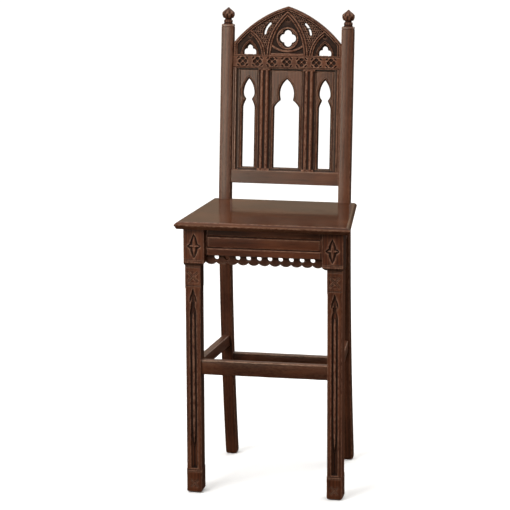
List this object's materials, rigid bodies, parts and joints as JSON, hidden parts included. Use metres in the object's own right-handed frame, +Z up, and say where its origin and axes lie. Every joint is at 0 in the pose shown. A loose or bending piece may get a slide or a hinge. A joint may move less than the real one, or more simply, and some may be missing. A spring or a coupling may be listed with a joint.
{
  "type": "bar chair",
  "caption": "Tall Gothic Revival bar chair with pierced pointed-arch back, carved front legs, moulded seat board and footrest stretchers.",
  "frame": {"origin": "on the floor, at the middle of the chair's footprint", "axes": "+Z up, +Y towards the chair's back, +X towards the sitter's left"},
  "size_m": [0.478, 0.4324, 1.2935],
  "materials": {
    "frame_walnut": "satin varnish over dark stain, worn lighter on the edges",
    "carved_walnut": "satin varnish, dark glaze in the carving, worn lighter on the high places",
    "seat_walnut": "polished satin varnish",
    "hidden_beech": "bare planed wood",
    "steel": "plain zinc-plated steel"
  },
  "bodies": {
    "root": {"front_leg_left": "carved_walnut", "front_leg_right": "carved_walnut", "rear_post_left": "frame_walnut", "rear_post_right": "frame_walnut", "finial_left": "carved_walnut", "finial_right": "carved_walnut", "crest_panel": "carved_walnut", "frieze_rail": "carved_walnut", "lower_back_rail": "frame_walnut", "splat_left": "frame_walnut", "splat_centre": "frame_walnut", "splat_right": "frame_walnut", "mullion_left": "frame_walnut", "mullion_right": "frame_walnut", "edge_strip_left": "frame_walnut", "edge_strip_right": "frame_walnut", "crest_dowels": "hidden_beech", "seat_board": "seat_walnut", "front_apron": "carved_walnut", "pierced_valance": "carved_walnut", "valance_brads": "steel", "side_apron_left": "frame_walnut", "side_apron_right": "frame_walnut", "rear_apron": "frame_walnut", "front_stretcher": "frame_walnut", "rear_stretcher": "frame_walnut", "side_stretcher_left": "frame_walnut", "side_stretcher_right": "frame_walnut", "corner_block_front_left": "hidden_beech", "corner_block_front_right": "hidden_beech", "corner_block_rear_left": "hidden_beech", "corner_block_rear_right": "hidden_beech", "corner_block_screws": "steel", "seat_screws": "steel", "foot_glides": "steel"}
  },
  "joints": []
}
